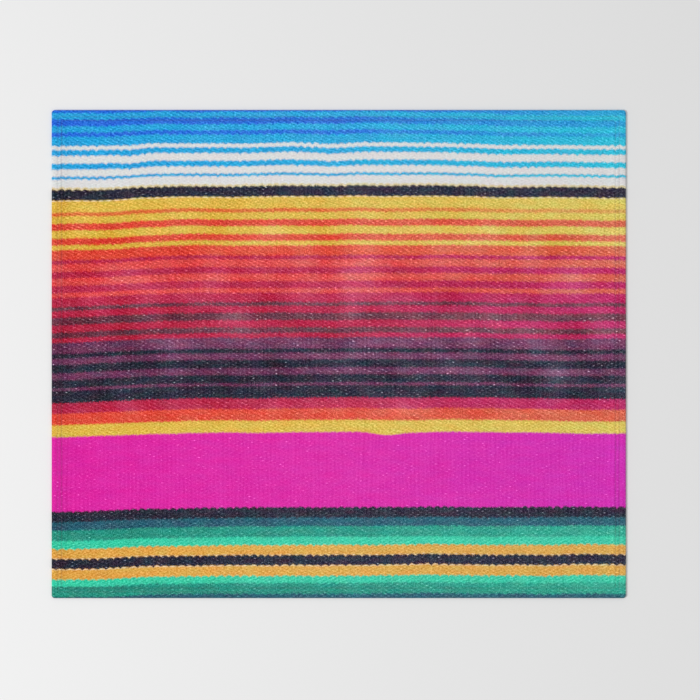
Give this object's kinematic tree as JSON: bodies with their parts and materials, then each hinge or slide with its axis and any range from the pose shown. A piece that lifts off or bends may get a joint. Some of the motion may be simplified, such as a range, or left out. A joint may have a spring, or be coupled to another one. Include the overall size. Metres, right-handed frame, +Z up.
{
  "type": "serape throw blanket",
  "caption": "Flat rectangular throw blanket in woven serape stripes, with a double-turned, twin-stitched hem on every side.",
  "frame": {"origin": "on the floor under the middle of the panel, at the middle of the blanket's outline", "axes": "+X along the stripes, the blanket's long way, and to the picture's right; +Y across the stripes, to the blue end at the picture's top; +Z up, out of the floor"},
  "size_m": [1.524, 1.2954, 0.0064],
  "materials": {
    "striped_cloth": "matt woven cotton and acrylic, striped across its short way",
    "turned_hem": "the same cloth, turned under twice and stitched"
  },
  "bodies": {
    "root": {"panel": "striped_cloth", "hem_left": "turned_hem", "hem_right": "turned_hem", "hem_top": "turned_hem", "hem_bottom": "turned_hem"}
  },
  "joints": []
}
